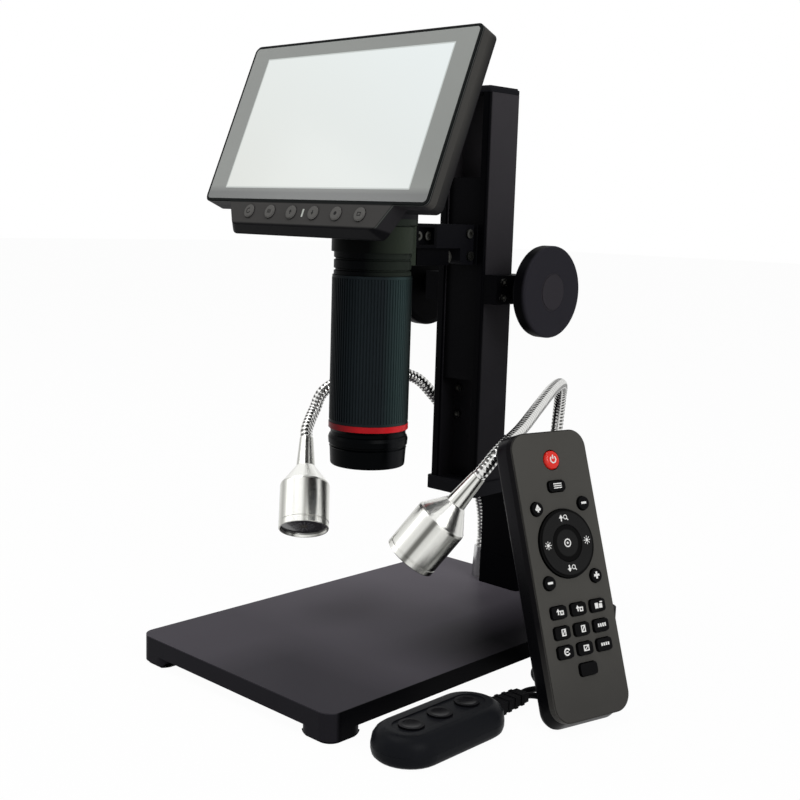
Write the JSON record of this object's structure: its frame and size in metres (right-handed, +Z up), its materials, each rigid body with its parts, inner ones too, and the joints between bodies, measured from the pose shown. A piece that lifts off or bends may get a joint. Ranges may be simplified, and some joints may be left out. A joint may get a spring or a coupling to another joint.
{
  "type": "digital microscope with screen",
  "caption": "Digital microscope: tilted screen on a camera barrel, rack and pinion stand on a flat base, gooseneck lamps, inline lamp controller and leaning remote.",
  "frame": {"origin": "where the optical axis meets the top face of the base plate", "axes": "+Z up along the optical axis and the column, +Y from the stage back to the column, +X to the right seen from the front"},
  "size_m": [0.1912, 0.196, 0.2727],
  "materials": {
    "base_black": "satin powder coat, nearly black with a slight purple cast",
    "cover_grey": "matt",
    "foot_rubber": "matt",
    "post_black": "satin",
    "anodised_black": "satin black anodised",
    "cap_plastic": "satin",
    "block_black": "satin",
    "bush_brass": "turned",
    "screw_steel": "bright plated",
    "gooseneck_chrome": "bright spiral-wound tube",
    "slider_aluminium": "milled, dark anodised",
    "arm_grey": "satin dark grey",
    "ring_olive": "satin",
    "yoke_black": "satin",
    "barrel_black": "satin, dark green-black",
    "grip_black": "satin anodised, ribbed",
    "accent_red": "glossy red",
    "nose_black": "satin",
    "lens_glass": "coated",
    "knob_black": "satin",
    "knob_plate": "satin",
    "shaft_steel": "turned",
    "cover_glass": "grey printed rim round a clear window",
    "screen_pale": "pale lit screen",
    "housing_grey": "fine matt",
    "shell_black": "fine matt",
    "board_green": "solder mask",
    "button_grey": "satin",
    "lamp_aluminium": "satin turned",
    "lamp_glass": "clear lens over an emitter",
    "controller_black": "fine matt",
    "button_black": "soft",
    "cord_black": "soft",
    "plug_black": "moulded",
    "remote_grey": "fine matt",
    "remote_black": "satin",
    "key_black": "soft",
    "key_red": "glossy",
    "key_dark": "satin"
  },
  "bodies": {
    "stand": {"base_plate": "base_black", "base_cover": "cover_grey", "feet": "foot_rubber", "pedestal": "post_black", "stand_screws": "screw_steel", "column": "anodised_black", "column_caps": "cap_plastic", "bearing_block": "block_black", "shaft_bushes": "bush_brass", "gooseneck_left": "gooseneck_chrome", "gooseneck_right": "gooseneck_chrome", "gooseneck_ferrules": "gooseneck_chrome", "base_grommet": "foot_rubber", "controller_top": "controller_black", "controller_base": "controller_black", "strain_relief": "cord_black", "lamp_cord": "cord_black", "power_cord": "cord_black", "power_coil": "cord_black", "usb_plug": "plug_black"},
    "carriage": {"slider": "slider_aluminium", "carriage_arm": "arm_grey", "holder_ring": "ring_olive", "clamp_yoke": "yoke_black", "carriage_screws": "screw_steel"},
    "head": {"barrel_tube": "barrel_black", "camera_housing": "shell_black", "front_housing": "housing_grey", "rear_housing": "shell_black", "cover_glass": "cover_glass", "lcd_panel": "screen_pale", "main_board": "board_green"},
    "focus_collar": {"focus_ring": "grip_black", "accent_ring": "accent_red", "lens_nose": "nose_black", "lens_glass": "lens_glass"},
    "drive": {"focus_shaft": "shaft_steel", "focus_knobs": "knob_black", "knob_caps": "knob_plate"},
    "lamp_left": {"lamp_left_head": "lamp_aluminium", "lamp_left_lens": "lamp_glass"},
    "lamp_right": {"lamp_right_head": "lamp_aluminium", "lamp_right_lens": "lamp_glass"},
    "remote": {"remote_front": "remote_grey", "remote_back": "remote_black", "remote_keypad": "key_black"},
    "door": {"battery_door": "remote_black"},
    "screen_button_1": {"screen_button_1": "button_grey"},
    "screen_button_2": {"screen_button_2": "button_grey"},
    "screen_button_3": {"screen_button_3": "button_grey"},
    "screen_button_4": {"screen_button_4": "button_grey"},
    "screen_button_5": {"screen_button_5": "button_grey"},
    "screen_button_6": {"screen_button_6": "button_grey"},
    "controller_button_1": {"controller_button_1": "button_black"},
    "controller_button_2": {"controller_button_2": "button_black"},
    "controller_button_3": {"controller_button_3": "button_black"},
    "remote_power_key": {"remote_power_key": "key_red"},
    "remote_menu_key": {"remote_menu_key": "key_black"},
    "remote_ring_key": {"remote_ring_key": "key_dark"},
    "remote_ok_key": {"remote_ok_key": "key_dark"}
  },
  "joints": [
    {"name": "carriage_slide", "type": "slide", "parent": "stand", "child": "carriage", "axis": [0, 0, 1], "range_m": [-0.045, 0.038]},
    {"name": "knob_turn", "type": "hinge", "parent": "stand", "child": "drive", "pos_m": [0, 0.076, 0.1538], "axis": [1, 0, 0], "range_deg": [-366, 432]},
    {"name": "head_turn", "type": "hinge", "parent": "carriage", "child": "head", "pos_m": [0, 0, 0.176], "axis": [0, 0, 1], "range_deg": [-15, 15]},
    {"name": "focus_turn", "type": "hinge", "parent": "head", "child": "focus_collar", "pos_m": [0, 0, 0.127], "axis": [0, 0, 1], "range_deg": [-120, 120]},
    {"name": "lamp_left_swing", "type": "hinge", "parent": "stand", "child": "lamp_left", "pos_m": [-0.042, 0.056, 0.1105], "axis": [1, 0, 0], "range_deg": [-8, 10], "deforming": ["gooseneck_left"]},
    {"name": "lamp_right_swing", "type": "hinge", "parent": "stand", "child": "lamp_right", "pos_m": [0.036, 0.088, 0.1085], "axis": [1, 0, 0], "range_deg": [-8, 10], "deforming": ["gooseneck_right"]},
    {"name": "screen_button_1_press", "type": "slide", "parent": "head", "child": "screen_button_1", "axis": [0, 0.9227, -0.3854], "range_m": [0, 0.0005], "stiffness_N_per_m": 900},
    {"name": "screen_button_2_press", "type": "slide", "parent": "head", "child": "screen_button_2", "axis": [0, 0.9227, -0.3854], "range_m": [0, 0.0005], "stiffness_N_per_m": 900},
    {"name": "screen_button_3_press", "type": "slide", "parent": "head", "child": "screen_button_3", "axis": [0, 0.9227, -0.3854], "range_m": [0, 0.0005], "stiffness_N_per_m": 900},
    {"name": "screen_button_4_press", "type": "slide", "parent": "head", "child": "screen_button_4", "axis": [0, 0.9227, -0.3854], "range_m": [0, 0.0005], "stiffness_N_per_m": 900},
    {"name": "screen_button_5_press", "type": "slide", "parent": "head", "child": "screen_button_5", "axis": [0, 0.9227, -0.3854], "range_m": [0, 0.0005], "stiffness_N_per_m": 900},
    {"name": "screen_button_6_press", "type": "slide", "parent": "head", "child": "screen_button_6", "axis": [0, 0.9227, -0.3854], "range_m": [0, 0.0005], "stiffness_N_per_m": 900},
    {"name": "controller_button_1_press", "type": "slide", "parent": "stand", "child": "controller_button_1", "axis": [0, 0, -1], "range_m": [0, 0.0006], "stiffness_N_per_m": 900},
    {"name": "controller_button_2_press", "type": "slide", "parent": "stand", "child": "controller_button_2", "axis": [0, 0, -1], "range_m": [0, 0.0006], "stiffness_N_per_m": 900},
    {"name": "controller_button_3_press", "type": "slide", "parent": "stand", "child": "controller_button_3", "axis": [0, 0, -1], "range_m": [0, 0.0006], "stiffness_N_per_m": 900},
    {"name": "remote_lift", "type": "slide", "parent": "stand", "child": "remote", "axis": [0, 0, 1], "range_m": [0, 0.05]},
    {"name": "battery_door_slide", "type": "slide", "parent": "remote", "child": "door", "axis": [0.3292, -0.0797, -0.9409], "range_m": [0, 0.008]},
    {"name": "remote_power_key_press", "type": "slide", "parent": "remote", "child": "remote_power_key", "axis": [-0.9145, 0.2212, -0.3387], "range_m": [0, 0.0006], "stiffness_N_per_m": 900},
    {"name": "remote_menu_key_press", "type": "slide", "parent": "remote", "child": "remote_menu_key", "axis": [-0.9145, 0.2212, -0.3387], "range_m": [0, 0.0006], "stiffness_N_per_m": 900},
    {"name": "remote_ring_key_press", "type": "slide", "parent": "remote", "child": "remote_ring_key", "axis": [-0.9145, 0.2212, -0.3387], "range_m": [0, 0.0006], "stiffness_N_per_m": 900},
    {"name": "remote_ok_key_press", "type": "slide", "parent": "remote", "child": "remote_ok_key", "axis": [-0.9145, 0.2212, -0.3387], "range_m": [0, 0.0006], "stiffness_N_per_m": 900}
  ],
  "couplings": [
    {"joint": "knob_turn", "follows": "carriage_slide", "rad_per_m": -166.67}
  ]
}
